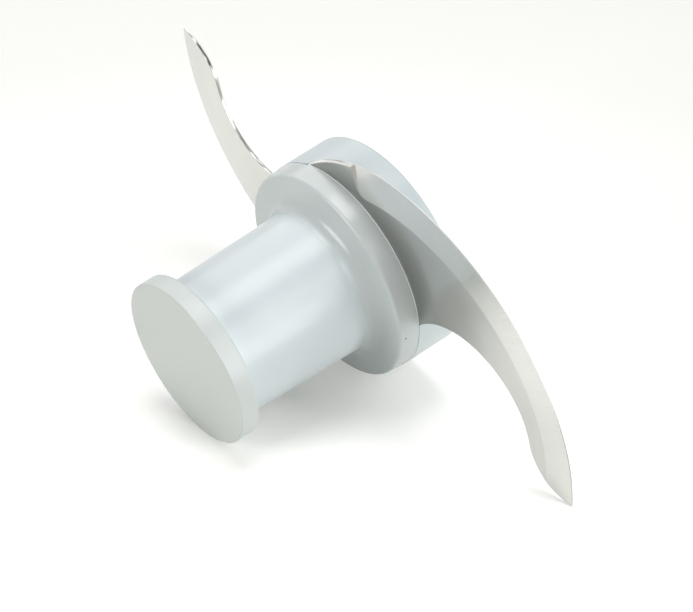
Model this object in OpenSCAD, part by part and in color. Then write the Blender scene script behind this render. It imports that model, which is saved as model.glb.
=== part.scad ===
// Food processor blade: a two-arm sickle cutter on a moulded hub.
// It stands on the flat end of its base, with the hub's axis on Z and the blade tips near X.
// Each arm is the same ground steel plate, one at each end of the base and half a turn apart.

/* [Base] */
// Diameter at the flat end the cutter stands on
base_d = 60; // [50:0.5:80]
// Height of the base, up to the joint with the hub
base_h = 14.3; // [12:0.1:20]
// Amount the base narrows by, on the radius, at its top
base_draft = 0.2; // [0:0.05:0.6]
// Rounding of the bottom rim
base_round = 0.8; // [0.3:0.1:1.5]
// Thickness of the base's outer wall
base_wall = 2.4; // [1.6:0.1:3.5]
// Thickness of the floor above the lower blade
base_floor = 3; // [2:0.1:4]
// Number of ribs under the upper blade
rib_count = 6; // [4:1:10]
// Thickness of each rib
rib_t = 1.8; // [1.2:0.1:2.6]

/* [Flange] */
// Height of the flange above the joint
flange_h = 6; // [4:0.1:9]
// Amount the flange narrows by, on the radius, below its shoulder
flange_draft = 0.5; // [0.1:0.05:1.2]
// Rounding of the flange's shoulder
shoulder_r = 0.9; // [0.3:0.1:2]
// Rounding of the flange's lower edge, beside the joint
lip_r = 0.3; // [0.1:0.05:0.6]
// Depth of the groove moulded into the flange's underside
groove_depth = 3.4; // [2:0.1:3.6]
// Width of the groove
groove_w = 4.4; // [2:0.1:5]

/* [Tube] */
// Length of the tube, from the flange to the cap
tube_len = 39.2; // [25:0.1:60]
// Outside diameter where the tube meets the flange
tube_foot_d = 40; // [36:0.1:42]
// Outside diameter under the cap
tube_top_d = 37.8; // [36:0.1:40]
// Wall at the tube's top end
tube_wall = 2.2; // [1.6:0.1:2.8]
// Fillet at the tube's foot
foot_r = 3.8; // [0.5:0.1:5]
// Thickness of the floor inside the tube
tube_floor = 3; // [2:0.1:5]

/* [Cap] */
// Diameter of the cap
cap_d = 45.4; // [42:0.1:56]
// Thickness of the cap's rim
cap_t = 5.3; // [4:0.1:8]
// Rounding of the cap's face
cap_round = 0.4; // [0.2:0.1:2]
// Rounding of the cap's back edge
cap_back_round = 0.6; // [0.2:0.1:1]
// Thickness of the cap's face
cap_face_t = 2.7; // [1.5:0.1:3.5]
// Depth that the cap's plug reaches into the tube
plug_len = 5; // [3:0.1:5]
// Wall of the plug
plug_wall = 1.8; // [1.2:0.1:2.5]

/* [Drive] */
// Diameter of the drive spindle
spindle_d = 16; // [10:0.5:17]
// Gap round the spindle, on the radius
spindle_gap = 0.1; // [0.05:0.01:0.3]
// Depth of the round bore
bore_len = 40; // [25:0.5:42]
// Distance across the flats of the spindle's key
key_flats = 12; // [8:0.5:13]
// Gap round the key
key_gap = 0.2; // [0.1:0.05:0.4]
// Length of the key's socket
key_len = 10; // [6:0.5:10]
// Wall of the sleeve round the bore
sleeve_wall = 3.9; // [2:0.1:4]
// Wall over the end of the key's socket
sleeve_end = 3; // [2:0.1:4]
// Amount the sleeve stops short of the base's flat end
sleeve_recess = 0.5; // [0.2:0.1:1]

/* [Blades] */
// Thickness of the steel
blade_t = 1; // [0.8:0.1:2]
// Distance from the joint's outer edge in to the ring that the hub holds
ring_inset = 3.8; // [2.8:0.1:6]
// Place of the heel arc's centre, across
heel_x = -23.4; // [-28:0.1:-20]
// Place of the heel arc's centre, along
heel_y = 1.3; // [-2:0.1:4]
// Radius of the heel arc, where the cutting edge leaves the hub
heel_r = 48.4; // [44:0.1:52]
// Direction from the heel arc's centre where the long arc takes over
join_angle = -78; // [-90:1:-66]
// Radius of the long arc, out to the tip
sweep_r = 61.8; // [56:0.1:68]
// Place of the back edge's centre, across
bay_x = -49; // [-52:0.1:-46]
// Place of the back edge's centre, along
bay_y = 1.7; // [0:0.1:3]
// Radius of the hollow back edge
bay_r = 22.6; // [19:0.1:24]
// Direction in which the hollow back edge turns into the tip's rounded back
turn_angle = 205; // [198:1:212]
// Radius of the tip's rounded back
tip_back_r = 14.5; // [10:0.1:18]

/* [Grind] */
// Place of the grinding cone's axis, across
grind_x = -28.3; // [-31:0.1:-26]
// Place of the grinding cone's axis, along
grind_y = 12.1; // [10:0.1:14]
// Radius at which the grind starts, on the blade's face
grind_r = 51.2; // [50:0.1:53]
// Width over which the grind reaches its full depth
grind_w = 10.2; // [9.8:0.1:12]
// Full depth of the grind
grind_depth = 0.9; // [0.5:0.05:0.95]
// Direction of the wheel's run-out near the hub
runout_angle = -56; // [-62:1:-50]
// Steepness of the run-out
runout_slope = 45; // [35:5:80]
// Rounding at the corner of the run-out
runout_r = 2.5; // [1:0.1:4]
// Chamfer on the heel's top edge, from the hub to the run-out
edge_break = 0.45; // [0.2:0.05:0.6]

/* [Fixing] */
// Number of pins that hold each blade
pin_count = 3; // [3:1:4]
// Radius of each pin
pin_r = 2; // [1.5:0.1:2.5]
// Length of the hub's pins below the upper blade
pin_len = 5; // [3:0.1:7]
// Direction of the first pin
pin_angle = -110; // [-130:1:-90]
// Extra radius of a riveted pin's head
head_extra = 1; // [0.5:0.1:1.5]
// Depth of a riveted pin's head
head_depth = 0.6; // [0.3:0.05:0.7]
// Gap round pins, plug and sleeve, on the radius
fit_gap = 0.05; // [0.02:0.01:0.1]
// Extra radius of the holes in the steel
hole_extra = 0.1; // [0.05:0.01:0.2]
// Wall of the bosses that take the hub's pins
boss_wall = 2; // [1.5:0.1:3]

/* [Hidden] */
$fn = 96;
base_r = base_d / 2;
joint_z = base_h;
joint_r = base_r - base_draft;
flange_top = joint_z + flange_h;
flange_r = joint_r - flange_draft;
shoulder_z = flange_top - shoulder_r;
tube_foot_r = tube_foot_d / 2;
tube_top_r = tube_top_d / 2;
// The fillet at the tube's foot ends where the flange's shoulder starts
foot_fillet = min(foot_r, flange_r - shoulder_r - tube_foot_r);
tube_top = flange_top + tube_len;
tube_in_r = tube_top_r - tube_wall;
cap_r = cap_d / 2;
cap_top = tube_top + cap_t;
plug_r = tube_in_r - fit_gap;
bore_r = spindle_d / 2 + spindle_gap;
key_r = (key_flats / 2 + key_gap) / cos(30);
sleeve_r = bore_r + sleeve_wall;
socket_top = bore_len + key_len;
sleeve_top = socket_top + sleeve_end;
upper_z = joint_z - blade_t;
ring_hole_r = sleeve_r + hole_extra;
ring_r = joint_r - ring_inset;
// The pins stand midway between the sleeve and the ring's edge
pin_ring_r = (sleeve_r + ring_r) / 2;
boss_r = pin_r + boss_wall;
groove_r = joint_r - base_wall;
cavity_z = blade_t + base_floor;
cavity_in_r = sleeve_r + fit_gap + base_wall;
cavity_r = joint_r - base_wall;
heel = [heel_x, heel_y];
// The long arc starts a hair inside the heel arc, so that the grind crosses one edge at a time
join_step = 0.01;
sweep = heel + (heel_r - sweep_r - join_step) * [cos(join_angle), sin(join_angle)];
bay = [bay_x, bay_y];
tip_back = bay + (bay_r + tip_back_r) * [cos(turn_angle), sin(turn_angle)];
grind = [grind_x, grind_y];
// Direction from the heel arc's centre where the edge leaves the hub, or comes nearest to it
hub_reach = max(-1, (joint_r * joint_r - heel * heel - heel_r * heel_r) / (2 * heel_r * norm(heel)));
hub_angle = atan2(heel_y, heel_x) + acos(hub_reach) - 360;
// The heel's chamfer runs on this far into the grind, which is deeper there
chamfer_past = 3;
over = 0.2;
far = 130;

plastic = [0.80, 0.84, 0.86];
steel = [0.78, 0.78, 0.76];

// Places its children at each of the pins
module at_pins() {
    for (i = [0 : pin_count - 1]) {
        rotate([0, 0, pin_angle + i * 360 / pin_count])
            translate([pin_ring_r, 0, 0])
                children();
    }
}

// The cutting edge: two arcs that meet without a corner
module edge_side(gap) {
    intersection() {
        translate(heel) circle(r = heel_r + gap);
        translate(heel) rotate(join_angle) square([far, far]);
    }
    intersection() {
        translate(sweep) circle(r = sweep_r + gap);
        translate(heel) rotate(join_angle) translate([-far, -far]) square([2 * far, far]);
    }
}

// Everything below the back edge, with the tip's rounded back added
module back_side(gap) {
    polygon([
        [far, 0],
        [0, 0],
        bay,
        tip_back,
        [-far, tip_back[1]],
        [-far, -far],
        [far, -far],
    ]);
    translate(tip_back) circle(r = tip_back_r + gap);
}

// The plan of one blade, its ring included, grown by a gap for the seats in the plastic
module blade_plan(gap) {
    difference() {
        intersection() {
            edge_side(gap);
            back_side(gap);
        }
        translate(bay) circle(r = bay_r - gap);
    }
    circle(r = ring_r + gap);
}

// What the grinding wheel reaches: all beyond its run-out, with a rounded corner
module ground_area() {
    difference() {
        translate(heel) rotate(runout_angle) translate([-far, -far]) square([2 * far, far]);
        translate(heel) rotate(runout_angle) translate([0, -runout_r]) runout_corner();
    }
}

// The corner that the round of the wheel leaves at the run-out
module runout_corner() {
    corner = wheel_reach();
    difference() {
        translate([corner - over, 0]) square([runout_r + over, runout_r + over]);
        translate([corner + runout_r, 0]) circle(r = runout_r);
    }
}

// Distance from the heel arc's centre to the grind's start, along the run-out
function wheel_reach() =
    let (to = grind - heel)
    let (along = to * [cos(runout_angle), sin(runout_angle)])
    let (aside = to * [-sin(runout_angle), cos(runout_angle)])
    along + sqrt(grind_r * grind_r - aside * aside);

// The steel that grinding takes off the face, as far as a cone about the wheel's axis
module grind_cut() {
    lift = over * grind_w / grind_depth;
    difference() {
        translate([0, 0, blade_t - grind_depth])
            linear_extrude(height = grind_depth + over)
                ground_area();
        translate([grind_x, grind_y, blade_t - grind_depth])
            cylinder(h = grind_depth + over, r1 = grind_r + grind_w, r2 = grind_r - lift);
        runout_ramp();
    }
}

// What the wheel leaves as a slope at its run-out
module runout_ramp() {
    translate([heel_x, heel_y, blade_t])
        rotate(runout_angle)
            rotate([runout_slope, 0, 0])
                translate([-far, -far, -far])
                    cube([2 * far, 2 * far, far]);
}

// What the chamfer takes off the heel's top edge, between the hub and the grind
module heel_chamfer() {
    translate([heel_x, heel_y, blade_t - edge_break - over])
        difference() {
            linear_extrude(height = edge_break + 2 * over)
                polygon([
                    [0, 0],
                    far * [cos(runout_angle - chamfer_past), sin(runout_angle - chamfer_past)],
                    far * [cos(hub_angle), sin(hub_angle)],
                ]);
            cylinder(h = edge_break + 2 * over, r1 = heel_r + over, r2 = heel_r - edge_break - over);
        }
}

// One blade, lying with its back on the XY plane and its ground side up
module blade() {
    difference() {
        linear_extrude(height = blade_t) blade_plan(0);
        grind_cut();
        heel_chamfer();
        translate([0, 0, -over]) cylinder(h = blade_t + 2 * over, r = ring_hole_r);
        at_pins() pin_hole();
    }
}

// A hole for a pin, opened out on the back for a riveted head
module pin_hole() {
    translate([0, 0, -over])
        cylinder(h = blade_t + 2 * over, r = pin_r + hole_extra);
    cylinder(h = head_depth, r1 = pin_r + head_extra, r2 = pin_r + hole_extra);
}

module blade_upper() {
    color(steel)
        translate([0, 0, upper_z])
            blade();
}

module blade_lower() {
    color(steel)
        rotate([0, 0, 180])
            blade();
}

// Half section of the hub's outside
module hub_profile() {
    difference() {
        union() {
            polygon([
                [0, joint_z],
                [joint_r - lip_r, joint_z],
                [joint_r - lip_r, joint_z + lip_r],
                [joint_r, joint_z + lip_r],
                [flange_r, shoulder_z],
                [flange_r - shoulder_r, shoulder_z],
                [flange_r - shoulder_r, flange_top],
                [tube_foot_r + foot_fillet, flange_top],
                [tube_foot_r + foot_fillet, flange_top + foot_fillet],
                [tube_foot_r, flange_top + foot_fillet],
                [tube_top_r, tube_top],
                [0, tube_top],
            ]);
            translate([joint_r - lip_r, joint_z + lip_r]) circle(r = lip_r);
            translate([flange_r - shoulder_r, shoulder_z]) circle(r = shoulder_r);
        }
        translate([tube_foot_r + foot_fillet, flange_top + foot_fillet]) circle(r = foot_fillet);
    }
}

// The hollow between the tube and the sleeve, moulded from the top
module tube_hollow() {
    difference() {
        translate([0, 0, joint_z + tube_floor])
            cylinder(h = tube_len + flange_h, r = tube_in_r);
        cylinder(h = sleeve_top, r = sleeve_r);
    }
}

// The groove that thins the flange, moulded from below
module flange_groove() {
    translate([0, 0, joint_z - over])
        difference() {
            cylinder(h = groove_depth + over, r = groove_r);
            translate([0, 0, -over])
                cylinder(h = groove_depth + 3 * over, r = groove_r - groove_w);
        }
}

// Round bore for the spindle, and above it the hexagon for the spindle's key
module drive_socket() {
    translate([0, 0, -over])
        cylinder(h = bore_len + over, r = bore_r);
    cylinder(h = socket_top, r = key_r, $fn = 6);
}

// Tube, flange and drive sleeve in one moulding
module hub() {
    color(plastic) {
        difference() {
            union() {
                rotate_extrude() hub_profile();
                translate([0, 0, sleeve_recess])
                    cylinder(h = joint_z, r = sleeve_r);
            }
            tube_hollow();
            flange_groove();
            drive_socket();
        }
        at_pins()
            translate([0, 0, upper_z - pin_len])
                cylinder(h = pin_len + blade_t + over, r = pin_r);
    }
}

// Half section of the base's outside
module base_profile() {
    polygon([
        [0, 0],
        [base_r - base_round, 0],
        [base_r - base_round, base_round],
        [base_r, base_round],
        [joint_r, joint_z],
        [0, joint_z],
    ]);
    translate([base_r - base_round, base_round]) circle(r = base_round);
}

// The hollow in the base, less the ribs and the bosses for the pins
module base_hollow() {
    difference() {
        translate([0, 0, cavity_z]) cylinder(h = base_h, r = cavity_r);
        cylinder(h = base_h + cavity_z, r = cavity_in_r);
        at_pins() cylinder(h = upper_z, r = boss_r);
        for (i = [0 : rib_count - 1]) {
            rotate([0, 0, pin_angle + (i + 0.5) * 360 / rib_count])
                translate([0, -rib_t / 2, 0])
                    cube([base_r, rib_t, upper_z]);
        }
    }
}

// The base, with a seat for a blade at each end and riveted pins through the lower one
module base() {
    color(plastic) {
        difference() {
            rotate_extrude() base_profile();
            translate([0, 0, upper_z])
                linear_extrude(height = blade_t + over) blade_plan(fit_gap);
            translate([0, 0, -over])
                rotate([0, 0, 180])
                    linear_extrude(height = blade_t + over) blade_plan(fit_gap);
            base_hollow();
            translate([0, 0, -over]) cylinder(h = base_h, r = sleeve_r + fit_gap);
            at_pins()
                translate([0, 0, upper_z - pin_len])
                    cylinder(h = pin_len + over, r = pin_r + fit_gap);
        }
        rotate([0, 0, 180])
            at_pins() riveted_pin();
    }
}

// A pin of the base with its head spread flush with the back of the lower blade
module riveted_pin() {
    cylinder(h = blade_t + over, r = pin_r);
    cylinder(h = head_depth - fit_gap, r1 = pin_r + head_extra - fit_gap, r2 = pin_r);
}

// Half section of the cap, with its plug
module cap_profile() {
    square([cap_r - cap_round, cap_t]);
    translate([0, cap_back_round]) square([cap_r, cap_t - cap_round - cap_back_round]);
    square([cap_r - cap_back_round, cap_t - cap_round]);
    translate([cap_r - cap_round, cap_t - cap_round]) circle(r = cap_round);
    translate([cap_r - cap_back_round, cap_back_round]) circle(r = cap_back_round);
    translate([0, -plug_len]) square([plug_r, plug_len]);
}

// The cap that closes the tube
module cap() {
    color(plastic)
        translate([0, 0, tube_top])
            difference() {
                rotate_extrude() cap_profile();
                translate([0, 0, -plug_len - over])
                    cylinder(h = plug_len + over + cap_t - cap_face_t, r = plug_r - plug_wall);
            }
}

cap();
hub();
blade_upper();
base();
blade_lower();
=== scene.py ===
"""Looks of the food processor blade: moulded plastic hub, two ground steel arms, and a white studio.

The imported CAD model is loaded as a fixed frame. Its solids keep their shape and place; this script
gives them their finishes, adds the small trim that sits on them, and sets the camera and lights.
Lengths are in metres unless a name says millimetres.
"""

from __future__ import annotations

import logging
import math
from dataclasses import dataclass, field
from enum import Enum

import bpy
import numpy as np
from mathutils import Matrix, Vector

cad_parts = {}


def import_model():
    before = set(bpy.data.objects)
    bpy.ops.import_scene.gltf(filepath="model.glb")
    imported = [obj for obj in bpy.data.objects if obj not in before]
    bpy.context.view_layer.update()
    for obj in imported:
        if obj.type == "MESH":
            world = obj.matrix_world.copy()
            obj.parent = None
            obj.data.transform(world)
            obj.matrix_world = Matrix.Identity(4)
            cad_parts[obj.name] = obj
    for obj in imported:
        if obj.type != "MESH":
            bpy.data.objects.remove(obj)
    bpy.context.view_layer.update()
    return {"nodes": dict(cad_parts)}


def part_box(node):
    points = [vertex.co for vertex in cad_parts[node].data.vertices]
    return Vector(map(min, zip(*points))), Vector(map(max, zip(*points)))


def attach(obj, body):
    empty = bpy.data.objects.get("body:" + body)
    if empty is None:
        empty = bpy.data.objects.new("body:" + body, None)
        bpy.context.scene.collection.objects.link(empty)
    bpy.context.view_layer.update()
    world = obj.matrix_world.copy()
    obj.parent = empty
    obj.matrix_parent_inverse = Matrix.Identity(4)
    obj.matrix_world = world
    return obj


LOG = logging.getLogger("food_processor_blade")
MM = 0.001


# colours and nodes


def linear(code: str, alpha: float = 1.0) -> tuple[float, float, float, float]:
    """Turn an sRGB hex colour into the linear values that a shader takes.

    Args:
        code: six hex digits, with or without a leading hash.
        alpha: the fourth value of the result.

    Returns:
        Red, green, blue and alpha, linear.
    """
    digits = code.lstrip("#")
    srgb = [int(digits[i : i + 2], 16) / 255.0 for i in (0, 2, 4)]
    flat = [c / 12.92 if c <= 0.04045 else ((c + 0.055) / 1.055) ** 2.4 for c in srgb]
    return flat[0], flat[1], flat[2], alpha


def put(
    tree: bpy.types.NodeTree,
    kind: str,
    settings: dict[str, object] | None = None,
    inputs: dict[str | int, object] | None = None,
) -> bpy.types.Node:
    """Add one node with its settings, socket values and links.

    Args:
        tree: the node tree to add to.
        kind: the node's type name, such as "ShaderNodeMath".
        settings: attributes set on the node itself.
        inputs: socket name or index to a value, or to an output socket to link from.

    Returns:
        The new node.
    """
    node = tree.nodes.new(kind)
    for name, value in (settings or {}).items():
        setattr(node, name, value)
    for key, value in (inputs or {}).items():
        if isinstance(value, bpy.types.NodeSocket):
            tree.links.new(value, node.inputs[key])
        else:
            node.inputs[key].default_value = value
    return node


def ramp(
    tree: bpy.types.NodeTree,
    factor: bpy.types.NodeSocket,
    stops: list[tuple[float, tuple[float, float, float, float]]],
    smooth: bool = False,
) -> bpy.types.NodeSocket:
    """Colour a factor by a list of stops.

    Args:
        tree: the node tree to add to.
        factor: the value to colour, from 0 to 1.
        stops: place and linear colour of each stop, in rising order.
        smooth: ease between the stops in place of straight lines.

    Returns:
        The ramp's colour output.
    """
    node = put(tree, "ShaderNodeValToRGB", inputs={0: factor})
    node.color_ramp.interpolation = "EASE" if smooth else "LINEAR"
    while len(node.color_ramp.elements) < len(stops):
        node.color_ramp.elements.new(0.5)
    for element, (place, colour) in zip(node.color_ramp.elements, stops):
        element.position = place
        element.color = colour
    return node.outputs[0]


def new_material(name: str) -> tuple[bpy.types.Material, bpy.types.NodeTree, bpy.types.Node]:
    """Make an empty node material.

    Args:
        name: the material's name.

    Returns:
        The material, its tree and its output node.
    """
    material = bpy.data.materials.new(name)
    material.use_nodes = True
    tree = material.node_tree
    tree.nodes.clear()
    return material, tree, tree.nodes.new("ShaderNodeOutputMaterial")


def dress(piece: bpy.types.Object, material: bpy.types.Material) -> None:
    """Put one material in every slot of a piece."""
    if not piece.material_slots:
        piece.data.materials.append(material)
    for slot in piece.material_slots:
        slot.material = material


# finishes


class Grey(Enum):
    """The greys of the moulded parts and of the steel, as sRGB hex."""

    HUB = "#D6DFE2"
    CAP = "#CDD3CE"
    # painted highlight: the cap's rim, lighter and bluer than its face
    CAP_RIM_PAINTED_HIGHLIGHT = "#CFD6D4"
    BASE = "#CCD6D9"
    # painted shade: the hub's flange, darker and greyer than its tube in the same plastic
    FLANGE_PAINTED_SHADE = "#CAD1D0"
    # painted highlight: the lip's near-white line
    LIP_PAINTED_HIGHLIGHT = "#FAFCFC"
    # painted shade: the inside of the flange's small dent
    NICK_PAINTED_SHADE = "#7C807E"
    STEEL = "#D8D8D5"
    # painted light: the lower arm's flat, lighter than the upper arm's though it is the same steel
    STEEL_LOWER_ARM_PAINTED_LIGHT = "#E4E4E0"
    STEEL_GROUND = "#E1E1DE"
    STEEL_SHEARED = "#A9A8A4"
    STEEL_EDGE = "#CBCCC9"
    # painted reflection: the near-black of the torn stretches
    STEEL_TORN_PAINTED_REFLECTION = "#3E3E3D"


@dataclass(frozen=True)
class MouldedPlastic:
    """Pale ABS, injection moulded in a fine spark-eroded tool.

    It gives a soft, wide sheen with long faint highlights, a very fine grain that only shows where
    light grazes, and a slight unevenness of tone from the flow of the plastic.
    """

    name: str
    colour: Grey
    roughness: float = 0.42
    grain_mm: float = 0.35
    grain_height_mm: float = 0.004
    painted_light_colour: Grey | None = None
    foot_mm: tuple[float, float] = (0.0, 0.0)
    foot_roughness: float | None = None
    nick_at_mm: tuple[float, float, float] | None = None
    nick_half_mm: tuple[float, float, float] = (0.6, 0.3, 0.46)
    nick_depth_grains: float = 25.0

    def build(self) -> bpy.types.Material:
        """Build the plastic.

        Returns:
            The material.
        """
        material, tree, out = new_material(self.name)
        place = put(tree, "ShaderNodeTexCoord").outputs["Object"]
        flow = put(
            tree,
            "ShaderNodeTexNoise",
            {"noise_dimensions": "3D"},
            {"Vector": place, "Scale": 1 / (22 * MM), "Detail": 2.0, "Roughness": 0.5},
        ).outputs["Fac"]
        base = linear(self.colour.value)
        low = tuple(c * 0.965 for c in base[:3]) + (1.0,)
        tone = ramp(tree, flow, [(0.3, low), (0.7, base)])
        foot = self._foot(tree, place)
        # Below foot_mm the colour is painted: painted shade on the hub's flange, painted highlight on the
        # cap's rim.
        if self.painted_light_colour is not None:
            tone = put(
                tree,
                "ShaderNodeMix",
                {"data_type": "RGBA"},
                {"Factor": foot, 6: tone, 7: linear(self.painted_light_colour.value)},
            ).outputs[2]
        grain = put(
            tree,
            "ShaderNodeTexNoise",
            {"noise_dimensions": "3D"},
            {"Vector": place, "Scale": 1 / (self.grain_mm * MM), "Detail": 3.0},
        ).outputs["Fac"]
        if self.nick_at_mm is not None:
            tone, grain = self._nick(tree, place, tone, grain)
        bump = put(
            tree,
            "ShaderNodeBump",
            inputs={"Height": grain, "Strength": 0.35, "Distance": self.grain_height_mm * MM},
        ).outputs[0]
        gloss = put(
            tree,
            "ShaderNodeMapRange",
            inputs={
                "Value": flow,
                "From Min": 0.3,
                "From Max": 0.7,
                "To Min": self.roughness - 0.03,
                "To Max": self.roughness + 0.03,
            },
        ).outputs[0]
        if self.foot_roughness is not None:
            gloss = put(
                tree,
                "ShaderNodeMath",
                {"operation": "MULTIPLY_ADD"},
                {0: foot, 1: self.foot_roughness - self.roughness, 2: gloss},
            ).outputs[0]
        shader = put(
            tree,
            "ShaderNodeBsdfPrincipled",
            inputs={
                "Base Color": tone,
                "Roughness": gloss,
                "Normal": bump,
                "IOR": 1.53,
                "Specular IOR Level": 0.5,
                "Subsurface Weight": 0.0,
            },
        )
        tree.links.new(shader.outputs[0], out.inputs["Surface"])
        return material

    def _nick(
        self,
        tree: bpy.types.NodeTree,
        place: bpy.types.NodeSocket,
        tone: bpy.types.NodeSocket,
        height: bpy.types.NodeSocket,
    ) -> tuple[bpy.types.NodeSocket, bpy.types.NodeSocket]:
        """Leave the small dark dent that the photograph shows in the flange's side.

        It fills an ellipsoid about nick_at_mm with the half axes nick_half_mm, and fades at its rim. Inside,
        the colour is a dark grey that is painted shade, and the grain's height dips into a dent.

        Args:
            tree: the material's tree.
            place: object coordinates.
            tone: the colour so far.
            height: the grain's height so far.

        Returns:
            The colour and the height with the dent in them.
        """
        centre = tuple(c * MM for c in self.nick_at_mm)
        off = put(
            tree, "ShaderNodeVectorMath", {"operation": "SUBTRACT"}, {0: place, 1: centre}
        ).outputs[0]
        half = tuple(h * MM for h in self.nick_half_mm)
        off = put(
            tree, "ShaderNodeVectorMath", {"operation": "DIVIDE"}, {0: off, 1: half}
        ).outputs[0]
        far = put(tree, "ShaderNodeVectorMath", {"operation": "LENGTH"}, {0: off})
        inside = put(
            tree,
            "ShaderNodeMapRange",
            {"interpolation_type": "SMOOTHSTEP"},
            {
                "Value": far.outputs["Value"],
                "From Min": 0.6,
                "From Max": 1.0,
                "To Min": 1.0,
                "To Max": 0.0,
            },
        ).outputs[0]
        # painted shade: the dent's inside is coloured dark grey
        dark = put(
            tree,
            "ShaderNodeMix",
            {"data_type": "RGBA"},
            {"Factor": inside, 6: tone, 7: linear(Grey.NICK_PAINTED_SHADE.value)},
        ).outputs[2]
        dent = put(
            tree,
            "ShaderNodeMath",
            {"operation": "MULTIPLY_ADD"},
            {0: inside, 1: -self.nick_depth_grains, 2: height},
        ).outputs[0]
        return dark, dent

    def _foot(
        self, tree: bpy.types.NodeTree, place: bpy.types.NodeSocket
    ) -> bpy.types.NodeSocket:
        """Find the lower part, where the colour is painted: on the hub the flange is a darker, greyer
        painted shade and is glossier, and on the cap the rim is a lighter, bluer painted highlight.

        It fades out between the two heights of foot_mm.

        Args:
            tree: the material's tree.
            place: object coordinates.

        Returns:
            One on the foot and nought above it.
        """
        z = put(tree, "ShaderNodeSeparateXYZ", inputs={0: place}).outputs["Z"]
        return put(
            tree,
            "ShaderNodeMapRange",
            {"interpolation_type": "SMOOTHSTEP"},
            {
                "Value": z,
                "From Min": self.foot_mm[0] * MM,
                "From Max": self.foot_mm[1] * MM,
                "To Min": 1.0,
                "To Max": 0.0,
            },
        ).outputs[0]


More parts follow.
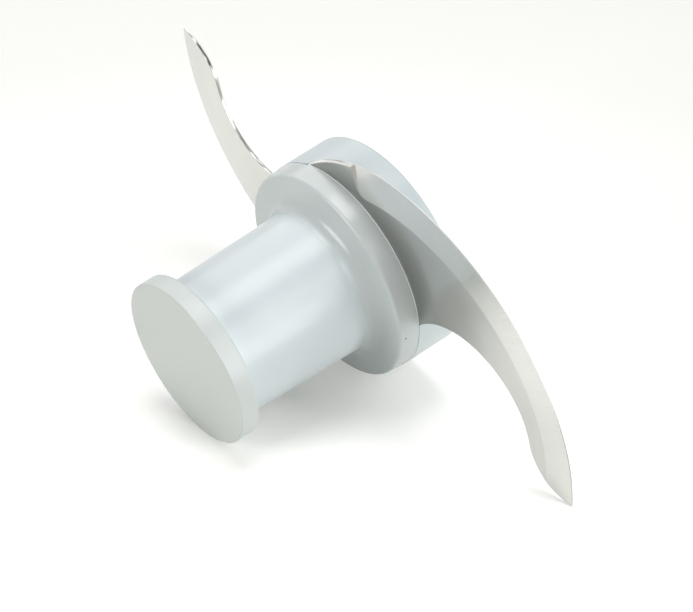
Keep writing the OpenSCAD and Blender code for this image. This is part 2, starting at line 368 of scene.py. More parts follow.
@dataclass(frozen=True)
class GroundStainless:
    """Stainless sheet, cold rolled, with a wheel-ground bevel.

    The flat keeps the rolled sheet's satin gloss, with faint streaks along the arm; its colour can be
    darkened towards the hub as painted shade. The bevel has scratches across the edge from the
    wheel's grit, so it scatters light wider and looks paler.
    """

    name: str
    axis_mm: tuple[float, float]
    flat_colour: Grey = Grey.STEEL
    root_shade_mm: tuple[float, ...] = (33.0, 40.0, 50.0, 56.0)
    root_shade_share: tuple[float, ...] = (1.0, 1.0, 1.0, 1.0)
    start_mm: float = 51.2
    flat_roughness: float = 0.16
    bevel_roughness: float = 0.17
    wall_roughness: float = 0.42
    scratch_mm: float = 0.3
    streak_mm: float = 0.5

    def build(self) -> bpy.types.Material:
        """Build the steel.

        Returns:
            The material.
        """
        material, tree, out = new_material(self.name)
        place = put(tree, "ShaderNodeTexCoord").outputs["Object"]
        rel = put(
            tree,
            "ShaderNodeVectorMath",
            {"operation": "SUBTRACT"},
            {0: place, 1: (self.axis_mm[0] * MM, self.axis_mm[1] * MM, 0.0)},
        ).outputs[0]
        split = put(tree, "ShaderNodeSeparateXYZ", inputs={0: rel})
        x, y = split.outputs["X"], split.outputs["Y"]
        flat = put(tree, "ShaderNodeCombineXYZ", inputs={0: x, 1: y, 2: 0.0}).outputs[0]
        reach = put(tree, "ShaderNodeVectorMath", {"operation": "LENGTH"}, {0: flat}).outputs[
            "Value"
        ]
        turn = put(tree, "ShaderNodeMath", {"operation": "ARCTAN2"}, {0: y, 1: x}).outputs[0]
        bevel = self._bevel_mask(tree, reach)
        # Along the rim the coordinate is the angle times the grind's radius, so both marks are true to size.
        along = put(
            tree, "ShaderNodeMath", {"operation": "MULTIPLY"}, {0: turn, 1: self.start_mm * MM}
        ).outputs[0]
        scratches = self._marks(tree, along, reach, self.scratch_mm, 9.0)
        streaks = self._marks(tree, reach, along, self.streak_mm, 16.0)
        marks = put(
            tree, "ShaderNodeMix", {"data_type": "FLOAT"}, {0: bevel, 2: streaks, 3: scratches}
        ).outputs[0]
        tone = put(
            tree,
            "ShaderNodeMix",
            {"data_type": "RGBA"},
            {0: bevel, 6: linear(self.flat_colour.value), 7: linear(Grey.STEEL_GROUND.value)},
        ).outputs[2]
        shade = put(
            tree,
            "ShaderNodeMapRange",
            inputs={"Value": marks, "From Min": 0.3, "From Max": 0.7, "To Min": 0.94, "To Max": 1.0},
        ).outputs[0]
        tone = put(
            tree,
            "ShaderNodeMix",
            {"data_type": "RGBA", "blend_type": "MULTIPLY"},
            {0: 1.0, 6: tone, 7: shade},
        ).outputs[2]
        # Painted shade: the flat's colour is darkened towards the hub, and the bevel is kept clear of it.
        left = put(
            tree,
            "ShaderNodeMath",
            {"operation": "MAXIMUM"},
            {0: self._painted_root_shade(tree, place), 1: bevel},
        ).outputs[0]
        tone = put(
            tree,
            "ShaderNodeMix",
            {"data_type": "RGBA", "blend_type": "MULTIPLY"},
            {0: 1.0, 6: tone, 7: left},
        ).outputs[2]
        wall = self._matt_mask(tree, rel)
        tone = put(
            tree,
            "ShaderNodeMix",
            {"data_type": "RGBA"},
            {0: wall, 6: tone, 7: linear(Grey.STEEL_SHEARED.value)},
        ).outputs[2]
        rough = put(
            tree,
            "ShaderNodeMix",
            {"data_type": "FLOAT"},
            {0: bevel, 2: self.flat_roughness, 3: self.bevel_roughness},
        ).outputs[0]
        rough = put(
            tree,
            "ShaderNodeMix",
            {"data_type": "FLOAT"},
            {0: wall, 2: rough, 3: self.wall_roughness},
        ).outputs[0]
        rough = put(
            tree,
            "ShaderNodeMath",
            {"operation": "MULTIPLY_ADD"},
            {0: marks, 1: 0.08, 2: rough},
        ).outputs[0]
        bump = put(
            tree,
            "ShaderNodeBump",
            inputs={"Height": marks, "Strength": 0.25, "Distance": 0.004 * MM},
        ).outputs[0]
        shader = put(
            tree,
            "ShaderNodeBsdfPrincipled",
            inputs={"Base Color": tone, "Metallic": 1.0, "Roughness": rough, "Normal": bump},
        )
        tree.links.new(shader.outputs[0], out.inputs["Surface"])
        return material

    def _painted_root_shade(
        self, tree: bpy.types.NodeTree, place: bpy.types.NodeSocket
    ) -> bpy.types.NodeSocket:
        """Work out the painted shade near the hub: how much of the steel's colour is kept, from the hub
        outwards.

        Args:
            tree: the material's tree.
            place: object coordinates.

        Returns:
            The root_shade_share that belongs to each distance of root_shade_mm, even in between.
        """
        level = put(
            tree, "ShaderNodeVectorMath", {"operation": "MULTIPLY"}, {0: place, 1: (1.0, 1.0, 0.0)}
        ).outputs[0]
        reach = put(tree, "ShaderNodeVectorMath", {"operation": "LENGTH"}, {0: level})
        furthest = self.root_shade_mm[-1]
        part = put(
            tree,
            "ShaderNodeMath",
            {"operation": "DIVIDE"},
            {0: reach.outputs["Value"], 1: furthest * MM},
        ).outputs[0]
        steps = zip(self.root_shade_mm, self.root_shade_share)
        return ramp(tree, part, [(far / furthest, (s, s, s, 1.0)) for far, s in steps])

    def _matt_mask(
        self, tree: bpy.types.NodeTree, rel: bpy.types.NodeSocket
    ) -> bpy.types.NodeSocket:
        """Find the matt faces: the plate's sheared walls, and the slope where the wheel ran out.

        A wall looks sideways. The run-out looks up at a slant and along the rim, so that its normal
        has next to no share in the direction away from the grind's axis, as the heel's chamfer has.

        Args:
            tree: the material's tree.
            rel: place from the grinding cone's axis, in metres.

        Returns:
            One on the matt faces and nought elsewhere.
        """
        normal = put(tree, "ShaderNodeNewGeometry").outputs["True Normal"]
        up = put(tree, "ShaderNodeSeparateXYZ", inputs={0: normal}).outputs["Z"]
        up = put(tree, "ShaderNodeMath", {"operation": "ABSOLUTE"}, {0: up}).outputs[0]
        wall = put(tree, "ShaderNodeMath", {"operation": "LESS_THAN"}, {0: up, 1: 0.3}).outputs[0]
        slant = put(tree, "ShaderNodeMath", {"operation": "LESS_THAN"}, {0: up, 1: 0.9}).outputs[0]
        away = put(tree, "ShaderNodeVectorMath", {"operation": "NORMALIZE"}, {0: rel}).outputs[0]
        share = put(
            tree, "ShaderNodeVectorMath", {"operation": "DOT_PRODUCT"}, {0: away, 1: normal}
        ).outputs["Value"]
        share = put(tree, "ShaderNodeMath", {"operation": "LESS_THAN"}, {0: share, 1: 0.3})
        runout = put(
            tree, "ShaderNodeMath", {"operation": "MULTIPLY"}, {0: slant, 1: share.outputs[0]}
        ).outputs[0]
        return put(
            tree, "ShaderNodeMath", {"operation": "MAXIMUM"}, {0: wall, 1: runout}
        ).outputs[0]

    def _bevel_mask(
        self, tree: bpy.types.NodeTree, reach: bpy.types.NodeSocket
    ) -> bpy.types.NodeSocket:
        """Find the ground part: beyond the grind's radius, on faces that look up but not straight up.

        Args:
            tree: the material's tree.
            reach: distance from the grinding cone's axis, in metres.

        Returns:
            One on the bevel and nought elsewhere.
        """
        beyond = put(
            tree,
            "ShaderNodeMath",
            {"operation": "GREATER_THAN"},
            {0: reach, 1: self.start_mm * MM},
        ).outputs[0]
        normal = put(tree, "ShaderNodeNewGeometry").outputs["True Normal"]
        up = put(tree, "ShaderNodeSeparateXYZ", inputs={0: normal}).outputs["Z"]
        facing = put(
            tree, "ShaderNodeMath", {"operation": "GREATER_THAN"}, {0: up, 1: 0.5}
        ).outputs[0]
        tilted = put(
            tree, "ShaderNodeMath", {"operation": "LESS_THAN"}, {0: up, 1: 0.9995}
        ).outputs[0]
        both = put(tree, "ShaderNodeMath", {"operation": "MULTIPLY"}, {0: facing, 1: tilted})
        return put(
            tree, "ShaderNodeMath", {"operation": "MULTIPLY"}, {0: both.outputs[0], 1: beyond}
        ).outputs[0]

    def _marks(
        self,
        tree: bpy.types.NodeTree,
        across: bpy.types.NodeSocket,
        along: bpy.types.NodeSocket,
        width_mm: float,
        length_mm: float,
    ) -> bpy.types.NodeSocket:
        """Draw fine marks: noise squeezed across to their width and drawn out to their length.

        Args:
            tree: the material's tree.
            across: coordinate across the marks, in metres.
            along: coordinate along the marks, in metres.
            width_mm: spacing of the marks.
            length_mm: their usual length.

        Returns:
            The marks' strength, about 0.5 on average.
        """
        a = put(
            tree, "ShaderNodeMath", {"operation": "MULTIPLY"}, {0: across, 1: 1 / (width_mm * MM)}
        ).outputs[0]
        b = put(
            tree, "ShaderNodeMath", {"operation": "MULTIPLY"}, {0: along, 1: 1 / (length_mm * MM)}
        ).outputs[0]
        spot = put(tree, "ShaderNodeCombineXYZ", inputs={0: a, 1: b, 2: 0.0}).outputs[0]
        return put(
            tree,
            "ShaderNodeTexNoise",
            {"noise_dimensions": "2D"},
            {"Vector": spot, "Scale": 1.0, "Detail": 3.0, "Roughness": 0.6},
        ).outputs["Fac"]


@dataclass(frozen=True)
class ShearedStainless:
    """The edge of stainless sheet, blanked in a press: burnished below, torn above in stretches.

    It shows as a thin bright line along the plate's back. Beside the ground face the steel tore in
    stretches, and there its colour is painted near-black in long streaks, as painted reflection.
    """

    name: str
    foot_mm: float
    thickness_mm: float
    roughness: float = 0.2
    burnished_share: float = 0.3
    stretch_mm: float = 9.0
    along: float = 1 / (4.0 * MM)
    across: float = 1 / (0.3 * MM)
    groove_mm: float = 0.35
    groove_height_mm: float = 0.006

    def build(self) -> bpy.types.Material:
        """Build the edge's steel.

        Returns:
            The material.
        """
        material, tree, out = new_material(self.name)
        place = put(tree, "ShaderNodeTexCoord").outputs["Object"]
        z = put(tree, "ShaderNodeSeparateXYZ", inputs={0: place}).outputs["Z"]
        first = self.foot_mm + self.burnished_share * self.thickness_mm
        torn = put(
            tree,
            "ShaderNodeMapRange",
            {"interpolation_type": "SMOOTHSTEP"},
            {
                "Value": z,
                "From Min": (first - 0.06) * MM,
                "From Max": (first + 0.06) * MM,
                "To Min": 0.0,
                "To Max": 1.0,
            },
        ).outputs[0]
        stretches = put(
            tree,
            "ShaderNodeTexNoise",
            {"noise_dimensions": "3D"},
            {"Vector": place, "Scale": 1 / (self.stretch_mm * MM), "Detail": 1.0},
        ).outputs["Fac"]
        # Where the stretches fall, the torn zone's near-black is painted reflection.
        dark = ramp(tree, stretches, [(0.42, (0.42,) * 3 + (1.0,)), (0.56, (1.0,) * 4)])
        # Squeezed along Z alone, the noise becomes lines along the edge.
        drawn = put(
            tree,
            "ShaderNodeMapping",
            {"vector_type": "POINT"},
            {"Vector": place, "Scale": (self.along, self.along, self.across)},
        ).outputs[0]
        lines = put(
            tree,
            "ShaderNodeTexNoise",
            {"noise_dimensions": "3D"},
            {"Vector": drawn, "Scale": 1.0, "Detail": 1.0},
        ).outputs["Fac"]
        lines = ramp(tree, lines, [(0.38, (0.35,) * 3 + (1.0,)), (0.5, (1.0,) * 4)])
        for share in (dark, lines):
            torn = put(
                tree, "ShaderNodeMath", {"operation": "MULTIPLY"}, {0: torn, 1: share}
            ).outputs[0]
        grooves = put(
            tree,
            "ShaderNodeTexNoise",
            {"noise_dimensions": "3D"},
            {"Vector": place, "Scale": 1 / (self.groove_mm * MM), "Detail": 2.0},
        ).outputs["Fac"]
        # The torn zone's near-black colour is painted reflection; the burnished zone keeps the steel's own
        # grey.
        tone = put(
            tree,
            "ShaderNodeMix",
            {"data_type": "RGBA"},
            {0: torn, 6: linear(Grey.STEEL_EDGE.value), 7: linear(Grey.STEEL_TORN_PAINTED_REFLECTION.value)},
        ).outputs[2]
        gloss = put(
            tree,
            "ShaderNodeMath",
            {"operation": "MULTIPLY_ADD"},
            {0: grooves, 1: 0.12, 2: self.roughness - 0.06},
        ).outputs[0]
        bump = put(
            tree,
            "ShaderNodeBump",
            inputs={"Height": grooves, "Strength": 0.25, "Distance": self.groove_height_mm * MM},
        ).outputs[0]
        shader = put(
            tree,
            "ShaderNodeBsdfPrincipled",
            inputs={"Base Color": tone, "Metallic": 1.0, "Roughness": gloss, "Normal": bump},
        )
        tree.links.new(shader.outputs[0], out.inputs["Surface"])
        return material


@dataclass(frozen=True)
class WhitePaper:
    """The photographer's white sweep: matt paper, lit to white, that keeps a soft shadow.

    Only its front shows. Seen from behind it lets the view and the light through, so it never hides
    the object. Far out it glows more for the camera, so that its edge can't be told from the air.
    In the object's shade the eye sees a little more than gloss does, to keep the shadow soft.
    """

    name: str = "white_paper_sweep"
    ring_m: tuple[float, ...] = (0.0, 0.04, 0.08, 0.13, 0.22, 0.5, 0.9)
    glow: tuple[float, ...] = (0.0, 0.30, 0.27, 0.29, 0.18, 0.12, 1.0)
    eye_lift: tuple[float, ...] = (0.0, 0.10, 0.05, 0.0, 0.0, 0.0, 0.0)

    def build(self) -> bpy.types.Material:
        """Build the paper.

        Returns:
            The material.
        """
        material, tree, out = new_material(self.name)
        place = put(tree, "ShaderNodeTexCoord").outputs["Object"]
        reach = put(tree, "ShaderNodeVectorMath", {"operation": "LENGTH"}, {0: place}).outputs[
            "Value"
        ]
        part = put(
            tree, "ShaderNodeMath", {"operation": "DIVIDE"}, {0: reach, 1: self.ring_m[-1]}
        ).outputs[0]
        glow, lift = (
            ramp(tree, part, [(r / self.ring_m[-1], (g, g, g, 1.0)) for r, g in zip(self.ring_m, rings)])
            for rings in (self.glow, self.eye_lift)
        )
        path = put(tree, "ShaderNodeLightPath")
        seen = put(
            tree,
            "ShaderNodeMath",
            {"operation": "MAXIMUM"},
            {0: path.outputs["Is Camera Ray"], 1: path.outputs["Is Glossy Ray"]},
        ).outputs[0]
        seen = put(
            tree,
            "ShaderNodeMath",
            {"operation": "MAXIMUM"},
            {0: seen, 1: path.outputs["Is Transmission Ray"]},
        ).outputs[0]
        strength = put(
            tree, "ShaderNodeMath", {"operation": "MULTIPLY"}, {0: glow, 1: seen}
        ).outputs[0]
        strength = put(
            tree,
            "ShaderNodeMath",
            {"operation": "MULTIPLY_ADD"},
            {0: lift, 1: path.outputs["Is Camera Ray"], 2: strength},
        ).outputs[0]
        paper = put(
            tree,
            "ShaderNodeBsdfDiffuse",
            inputs={"Color": linear("#F4F4F1"), "Roughness": 0.6},
        ).outputs[0]
        light = put(
            tree,
            "ShaderNodeEmission",
            inputs={"Color": (1.0, 1.0, 0.985, 1.0), "Strength": strength},
        ).outputs[0]
        front = put(tree, "ShaderNodeAddShader", inputs={0: paper, 1: light}).outputs[0]
        clear = put(tree, "ShaderNodeBsdfTransparent").outputs[0]
        back = put(tree, "ShaderNodeNewGeometry").outputs["Backfacing"]
        both = put(tree, "ShaderNodeMixShader", inputs={0: back, 1: front, 2: clear})
        tree.links.new(both.outputs[0], out.inputs["Surface"])
        return material


# surfaces


@dataclass(frozen=True)
class Arc:
    """Part of a circle in plan, in millimetres and degrees."""

    centre: tuple[float, float]
    radius: float
    start: float
    end: float

    def walk(self, count: int) -> tuple[np.ndarray, np.ndarray]:
        """Walk along the arc.

        With the angle a going evenly from start to end, a point is the centre plus the radius times
        (cos a, sin a), and (cos a, sin a) is the direction away from the centre.

        Args:
            count: number of points.

        Returns:
            The points and the directions away from the centre, each as count rows of x and y.
        """
        a = np.radians(np.linspace(self.start, self.end, count))
        away = np.stack([np.cos(a), np.sin(a)], axis=1)
        return np.asarray(self.centre) + self.radius * away, away


def rounded_strip(reach: float, corner: float, depth: float, steps: int = 5) -> np.ndarray:
    """Draw the closed section of a thin strip that lies on a wall, for a height of one.

    The outer side stands off the wall by reach. At its top and bottom it bends inwards on a quarter
    ellipse as deep as the strip and as high as the corner, and its inner side is inside the plate.

    Args:
        reach: how far the strip stands off the wall.
        corner: height of each bent corner.
        depth: how far the inner side lies within the wall.
        steps: points along each corner.

    Returns:
        Rows of distance off the wall, share of the height (nought or one), and height added to that.
    """
    a = np.linspace(0.0, math.pi / 2, steps)
    off = reach - (reach + depth) * (1.0 - np.cos(a))
    rise = corner * np.sin(a)
    lower = np.stack([off[::-1], np.zeros(steps), corner - rise[::-1]], axis=1)
    upper = np.stack([off, np.ones(steps), rise - corner], axis=1)
    return np.concatenate([lower, upper])


def carried_solid(
    name: str,
    path: np.ndarray,
    side: np.ndarray,
    height: np.ndarray,
    section: np.ndarray,
) -> bpy.types.Object:
    """Carry a closed section along a path, as one closed mesh.

    The point at step i and place j is path(i) + side(i) * off(j) + Z * (share(j) * height(i) + rise(j)).

    Args:
        name: the new object's name.
        path: rows of x, y and z along the foot of the wall, in millimetres.
        side: for each row, the unit direction away from the wall.
        height: for each row, the wall's height.
        section: rows of off, share and rise, going round the section.

    Returns:
        The object, linked to the scene, with its place in its mesh.
    """
    off, share, rise = section.T
    points = path[:, None, :] + side[:, None, :] * off[None, :, None]
    points[:, :, 2] += share[None, :] * height[:, None] + rise[None, :]
    rows, around = points.shape[:2]
    index = np.arange(rows * around).reshape(rows, around)
    here, there = index[:-1], index[1:]
    quads = np.stack(
        [here, np.roll(here, -1, axis=1), np.roll(there, -1, axis=1), there], axis=2
    ).reshape(-1, 4)
    faces = quads.tolist() + [index[0, ::-1].tolist(), index[-1].tolist()]
    mesh = bpy.data.meshes.new(name)
    mesh.from_pydata((points.reshape(-1, 3) * MM).tolist(), [], faces)
    mesh.polygons.foreach_set("use_smooth", [True] * len(faces))
    mesh.update()
    piece = bpy.data.objects.new(name, mesh)
    bpy.context.scene.collection.objects.link(piece)
    return piece


def face_outwards(piece: bpy.types.Object) -> None:
    """Turn a closed mesh the right way out: its signed volume has to be positive.

    The volume is a sixth of the sum of each triangle's a . (b x c).

    Args:
        piece: an object with a closed mesh.
    """
    mesh = piece.data
    mesh.calc_loop_triangles()
    corners = np.empty(len(mesh.loop_triangles) * 3, dtype=np.int32)
    mesh.loop_triangles.foreach_get("vertices", corners)
    places = np.empty(len(mesh.vertices) * 3)
    mesh.vertices.foreach_get("co", places)
    tri = places.reshape(-1, 3)[corners.reshape(-1, 3)]
    volume = np.einsum("ij,ij->i", tri[:, 0], np.cross(tri[:, 1], tri[:, 2])).sum() / 6
    if volume < 0:
        mesh.flip_normals()


# sub-assemblies


@dataclass
class HubAssembly:
    """The moulded plastic parts: the cap, the hub and the base."""

    tube_foot_mm: tuple[float, float] = (20.3, 25.3)
    cap_edge_mm: tuple[float, float] = (64.3, 64.75)
    joint_mm: float = 14.3
    nick_mm: tuple[float, float, float] = (-28.76, -5.96, 18.45)
    lip: Arc = Arc((0.0, 0.0), 29.5, -163.0, -54.0)
    lip_height_mm: float = 0.34
    lip_reach_mm: float = 0.42
    lip_points: int = 260
    finishes: dict[str, MouldedPlastic] = field(default_factory=dict)

    def __post_init__(self) -> None:
        """Choose a finish for each moulding."""
        self.finishes = {
            "cap": MouldedPlastic(
                "abs_moulded_cap",
                Grey.CAP,
                roughness=0.34,
                # the rim's lighter, bluer grey is a painted highlight
                painted_light_colour=Grey.CAP_RIM_PAINTED_HIGHLIGHT,
                foot_mm=self.cap_edge_mm,
            ),
            "hub": MouldedPlastic(
                "abs_moulded_hub",
                Grey.HUB,
                roughness=0.3,
                # the flange's darker grey is painted shade; its lower roughness is the real finish
                painted_light_colour=Grey.FLANGE_PAINTED_SHADE,
                foot_mm=self.tube_foot_mm,
                foot_roughness=0.2,
                nick_at_mm=self.nick_mm,
            ),
            "base": MouldedPlastic("abs_moulded_base", Grey.BASE, roughness=0.32),
        }

    def build(self, nodes: dict[str, bpy.types.Object]) -> None:
        """Dress the mouldings.

        Args:
            nodes: the frame's nodes by name.
        """
        for name, finish in self.finishes.items():
            dress(nodes[name], finish.build())
            LOG.info("dressed %s in %s", name, finish.name)
        lip = self._lip()
        # The lip's near-white colour is a painted highlight.
        dress(lip, MouldedPlastic("abs_lip_painted_highlight", Grey.LIP_PAINTED_HIGHLIGHT, roughness=0.2).build())
        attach(lip, "root")
        LOG.info("made %s", lip.name)

    def _lip(self) -> bpy.types.Object:
        """Make the flange's lip, a hair-fine strip where the flange sits on the upper arm, coloured
        near-white as a painted highlight.

        The section is a strip that fills the rounding of the flange's lower edge and stands a tenth
        of a millimetre proud. It follows the flange from the arm's hollow back to its heel.

        Returns:
            The lip.
        """
        plan, away = self.lip.walk(self.lip_points)
        flat = np.zeros((len(plan), 1))
        path = np.concatenate([plan, flat + self.joint_mm], axis=1)
        direction = np.concatenate([away, flat], axis=1)
        height = np.full(len(plan), self.lip_height_mm)
        lip = carried_solid(
            "hub_lip", path, direction, height, rounded_strip(self.lip_reach_mm, 0.1, 0.3)
        )
        face_outwards(lip)
        return lip


@dataclass
class SickleBlades:
    """The two steel arms, the same plate twice, half a turn apart.

    Places are in the upper arm's plan. The edge bands follow the plate's walls, where the press
    sheared it: the hollow back edge, the tip's rounded back, and the heel where the grind runs out.
    """

    grind_axis: tuple[float, float] = (-28.3, 12.1)
    grind_start: float = 51.2
    grind_width: float = 10.2
    grind_depth: float = 0.9
    hollow_back: Arc = Arc((-49.0, 1.7), 22.6, -22.0, -155.0)
    tip_back: Arc = Arc((-82.624, -13.979), 14.5, 25.0, 101.5)
    heel: Arc = Arc((-23.4, 1.3), 48.4, -34.0, -55.6)
    heel_chamfer: float = 0.45
    band_off: float = 0.035
    band_corner: float = 0.1
    band_depth: float = 0.12
    points_per_band: int = 220

    def build(self, nodes: dict[str, bpy.types.Object]) -> None:
        """Dress both arms and add their edge bands.

        Args:
            nodes: the frame's nodes by name.
        """
        # The last column is the painted shade on each arm's flat near the hub, darkening the upper arm only.
        for name, side, flat, root_shades in (
            ("blade_upper", 1.0, Grey.STEEL, (0.61, 0.82, 0.88, 1.0)),
            # the lower arm's lighter grey is painted light
            ("blade_lower", -1.0, Grey.STEEL_LOWER_ARM_PAINTED_LIGHT, (1.0, 1.0, 1.0, 1.0)),
        ):
            axis = (side * self.grind_axis[0], side * self.grind_axis[1])
            finish = GroundStainless(f"ground_stainless_{name}", axis, flat, root_shade_share=root_shades)
            dress(nodes[name], finish.build())
            LOG.info("dressed %s in %s", name, finish.name)
            low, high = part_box(name)
            foot, thickness = low[2] / MM, (high[2] - low[2]) / MM
            sheared = ShearedStainless(f"sheared_stainless_{name}", foot, thickness).build()
            for edge, arcs, inwards in (
                ("back", (self.hollow_back, self.tip_back), (True, False)),
                ("heel", (self.heel,), (False,)),
            ):
                band = self._band(f"{name}_{edge}_edge", arcs, inwards, side, foot, thickness)
                dress(band, sheared)
                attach(band, "root")
                LOG.info("made %s", band.name)

    def _band(
        self,
        name: str,
        arcs: tuple[Arc, ...],
        inwards: tuple[bool, ...],
        side: float,
        foot: float,
        thickness: float,
    ) -> bpy.types.Object:
        """Make one edge band along a run of arcs that meet without a corner.

        The wall's height is the plate's thickness, less the grind's depth times how far the place is
        past the grind's start, as a share of the grind's width, from nought to one. On the heel, where
        the grind has run out, it is the thickness less the chamfer.

        Args:
            name: the band's name.
            arcs: the arcs, in order.
            inwards: for each arc, whether the open air is on its centre's side.
            side: 1 for the upper arm, -1 for the lower arm, turned half a turn.
            foot: height of the plate's back.
            thickness: thickness of the plate.

        Returns:
            The band.
        """
        plans, sides = [], []
        for arc, inner in zip(arcs, inwards):
            plan, away = arc.walk(self.points_per_band // len(arcs))
            plans.append(plan)
            sides.append(-away if inner else away)
        plan, away = np.concatenate(plans), np.concatenate(sides)
        reach = np.hypot(*(plan - np.asarray(self.grind_axis)).T)
        ground = np.clip((reach - self.grind_start) / self.grind_width, 0.0, 1.0)
        height = thickness - self.grind_depth * ground
        if arcs == (self.heel,):
            height = np.full(len(plan), thickness - self.heel_chamfer)
        flat = np.zeros((len(plan), 1))
        path = np.concatenate([side * plan, flat + foot], axis=1)
        direction = np.concatenate([side * away, flat], axis=1)
        section = rounded_strip(self.band_off, self.band_corner, self.band_depth)
        band = carried_solid(name, path, direction, height, section)
        face_outwards(band)
        return band


@dataclass(frozen=True)
class SoftBox:
    """One square soft box, placed by its bearing round the object and its height over the sweep.

    The bearing is nought on the camera's side and turns about the sweep's normal.
    """

    name: str
    bearing_deg: float
    height_deg: float
    watts: float
    size: float = 0.5
    distance: float = 1.0
    aim: tuple[float, float, float] = (0.0, 0.0, 0.03)

    def build(self, normal: Vector, ahead: Vector) -> bpy.types.Object:
        """Make the lamp and turn it to the object.

        With the bearing a and the height h, it stands in the direction
        normal sin(h) + (ahead cos(a) + (normal x ahead) sin(a)) cos(h).

        Args:
            normal: the sweep's normal.
            ahead: direction along the sweep to the camera's side.

        Returns:
            The lamp.
        """
        a, h = math.radians(self.bearing_deg), math.radians(self.height_deg)
        level = ahead * math.cos(a) + normal.cross(ahead) * math.sin(a)
        out = normal * math.sin(h) + level * math.cos(h)
        data = bpy.data.lights.new(self.name, "AREA")
        data.shape = "SQUARE"
        data.size = self.size
        data.energy = self.watts
        lamp = bpy.data.objects.new(self.name, data)
        turn = out.to_track_quat("Z", "Y").to_matrix().to_4x4()
        lamp.matrix_world = Matrix.Translation(Vector(self.aim) + out * self.distance) @ turn
        bpy.context.scene.collection.objects.link(lamp)
        LOG.info("lamp %s", self.name)
        return lamp


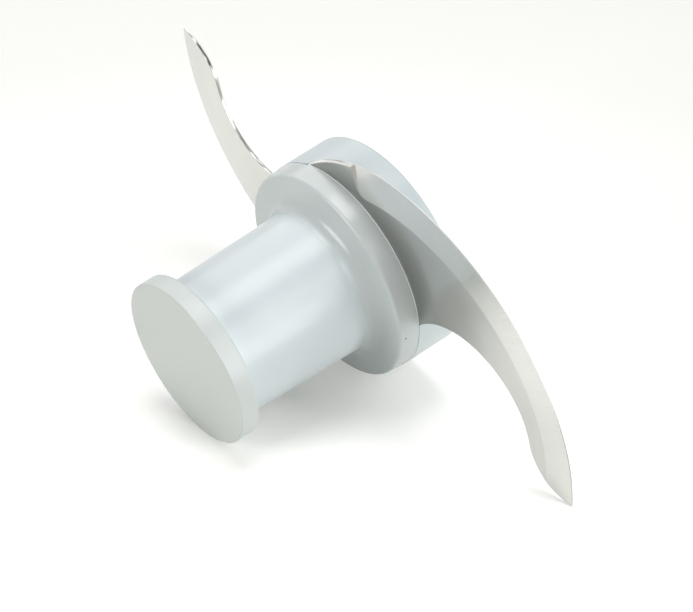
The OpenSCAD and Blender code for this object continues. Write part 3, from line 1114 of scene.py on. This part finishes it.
@dataclass
class Studio:
    """Camera, lamps and the white sweep that the cutter lies on in the photograph."""

    camera_at: tuple[float, float, float] = (-0.19214, -0.42233, 0.22993)
    camera_target: tuple[float, float, float] = (-0.00531, 0.01109, 0.01593)
    camera_roll_deg: float = -122.696
    lens_mm: float = 103.57
    sweep_touch_mm: tuple[tuple[float, float, float], ...] = (
        (-9.4, 20.6, 64.5),
        (-86.3, 0.0, 13.6),
        (3.6, 42.9, 0.2),
    )
    sweep_clear_mm: float = 0.1
    sweep_half: float = 3.0
    air_light: float = 0.1
    air_seen: float = 1.0
    lamps: tuple[SoftBox, ...] = (
        SoftBox("soft_box_left", 300.0, 10.0, 4.4),
        SoftBox("soft_box_right", 60.0, 10.0, 3.8),
        SoftBox("soft_box_over", 0.0, 90.0, 3.7),
        SoftBox("soft_box_front", 40.0, 36.0, 2.4),
        SoftBox("soft_box_rear_high", 216.0, 62.0, 1.3),
        SoftBox("soft_box_rear", 200.0, 36.0, 1.2),
    )

    def build(self) -> None:
        """Set up everything that isn't the object."""
        self._camera()
        touch, normal = self._plane()
        self._sweep(touch, normal)
        self._air()
        sight = Vector(self.camera_at) - Vector(self.camera_target)
        ahead = (sight - normal * sight.dot(normal)).normalized()
        for lamp in self.lamps:
            lamp.build(normal, ahead)
        scene = bpy.context.scene
        scene.view_settings.view_transform = "Standard"

    def _camera(self) -> None:
        """Place the camera: it looks from camera_at to the target and is rolled about that line."""
        data = bpy.data.cameras.new("photo_camera")
        data.lens = self.lens_mm
        data.sensor_width = 36.0
        data.clip_start, data.clip_end = 0.01, 50.0
        camera = bpy.data.objects.new("photo_camera", data)
        back = (Vector(self.camera_at) - Vector(self.camera_target)).normalized()
        right = Vector((0.0, 0.0, 1.0)).cross(back).normalized()
        up = back.cross(right)
        c, s = math.cos(math.radians(self.camera_roll_deg)), math.sin(
            math.radians(self.camera_roll_deg)
        )
        x_axis, y_axis = c * right + s * up, -s * right + c * up
        turn = Matrix((x_axis, y_axis, back)).transposed().to_4x4()
        camera.matrix_world = Matrix.Translation(self.camera_at) @ turn
        bpy.context.scene.collection.objects.link(camera)
        bpy.context.scene.camera = camera
        LOG.info("camera set")

    def _plane(self) -> tuple[Vector, Vector]:
        """Find the plane that the cutter lies on in the photograph.

        It goes through the three points that touch it: the cap's rim, the upper arm's tip and the
        lower arm's curved edge. Its normal is the cross product of two sides of that triangle.

        Returns:
            One of the points, and the normal on the object's side.
        """
        a, b, c = (Vector(point) * MM for point in self.sweep_touch_mm)
        normal = (b - a).cross(c - a).normalized()
        if normal.dot(Vector((0.0, 0.0, 0.03)) - a) < 0:
            normal.negate()
        return a, normal

    def _sweep(self, touch: Vector, normal: Vector) -> None:
        """Lay the white sweep on its plane, centred under the object's middle.

        Args:
            touch: a point of the plane.
            normal: the plane's normal.
        """
        middle = Vector((0.0, 0.0, 0.03))
        middle -= normal * ((middle - touch).dot(normal) + self.sweep_clear_mm * MM)
        u = normal.cross(Vector((0.0, 0.0, 1.0))).normalized()
        v = normal.cross(u)
        half = self.sweep_half
        corners = [(-u - v) * half, (u - v) * half, (u + v) * half, (-u + v) * half]
        mesh = bpy.data.meshes.new("white_sweep")
        mesh.from_pydata([tuple(c) for c in corners], [], [(0, 1, 2, 3)])
        mesh.update()
        if mesh.polygons[0].normal.dot(normal) < 0:
            mesh.flip_normals()
        sweep = bpy.data.objects.new("white_sweep", mesh)
        sweep.location = middle
        bpy.context.scene.collection.objects.link(sweep)
        dress(sweep, WhitePaper().build())
        LOG.info("sweep set")

    def _air(self) -> None:
        """Fill the air: white to the eye and to gloss, and a plain soft light on everything."""
        world = bpy.data.worlds.new("white_studio")
        world.use_nodes = True
        tree = world.node_tree
        tree.nodes.clear()
        out = tree.nodes.new("ShaderNodeOutputWorld")
        path = put(tree, "ShaderNodeLightPath")
        seen = path.outputs["Is Camera Ray"]
        for name in ("Is Glossy Ray", "Is Transmission Ray"):
            seen = put(
                tree, "ShaderNodeMath", {"operation": "MAXIMUM"}, {0: seen, 1: path.outputs[name]}
            ).outputs[0]
        strength = put(
            tree,
            "ShaderNodeMapRange",
            inputs={"Value": seen, "To Min": self.air_light, "To Max": self.air_seen},
        ).outputs[0]
        light = put(
            tree,
            "ShaderNodeBackground",
            inputs={"Color": (1.0, 1.0, 0.985, 1.0), "Strength": strength},
        )
        tree.links.new(light.outputs[0], out.inputs["Surface"])
        bpy.context.scene.world = world


def main() -> None:
    """Load the frame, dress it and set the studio."""
    logging.basicConfig(level=logging.INFO, format="%(name)s: %(message)s")
    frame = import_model()
    nodes = frame["nodes"]
    HubAssembly().build(nodes)
    SickleBlades().build(nodes)
    Studio().build()


if __name__ == "__main__":
    main()
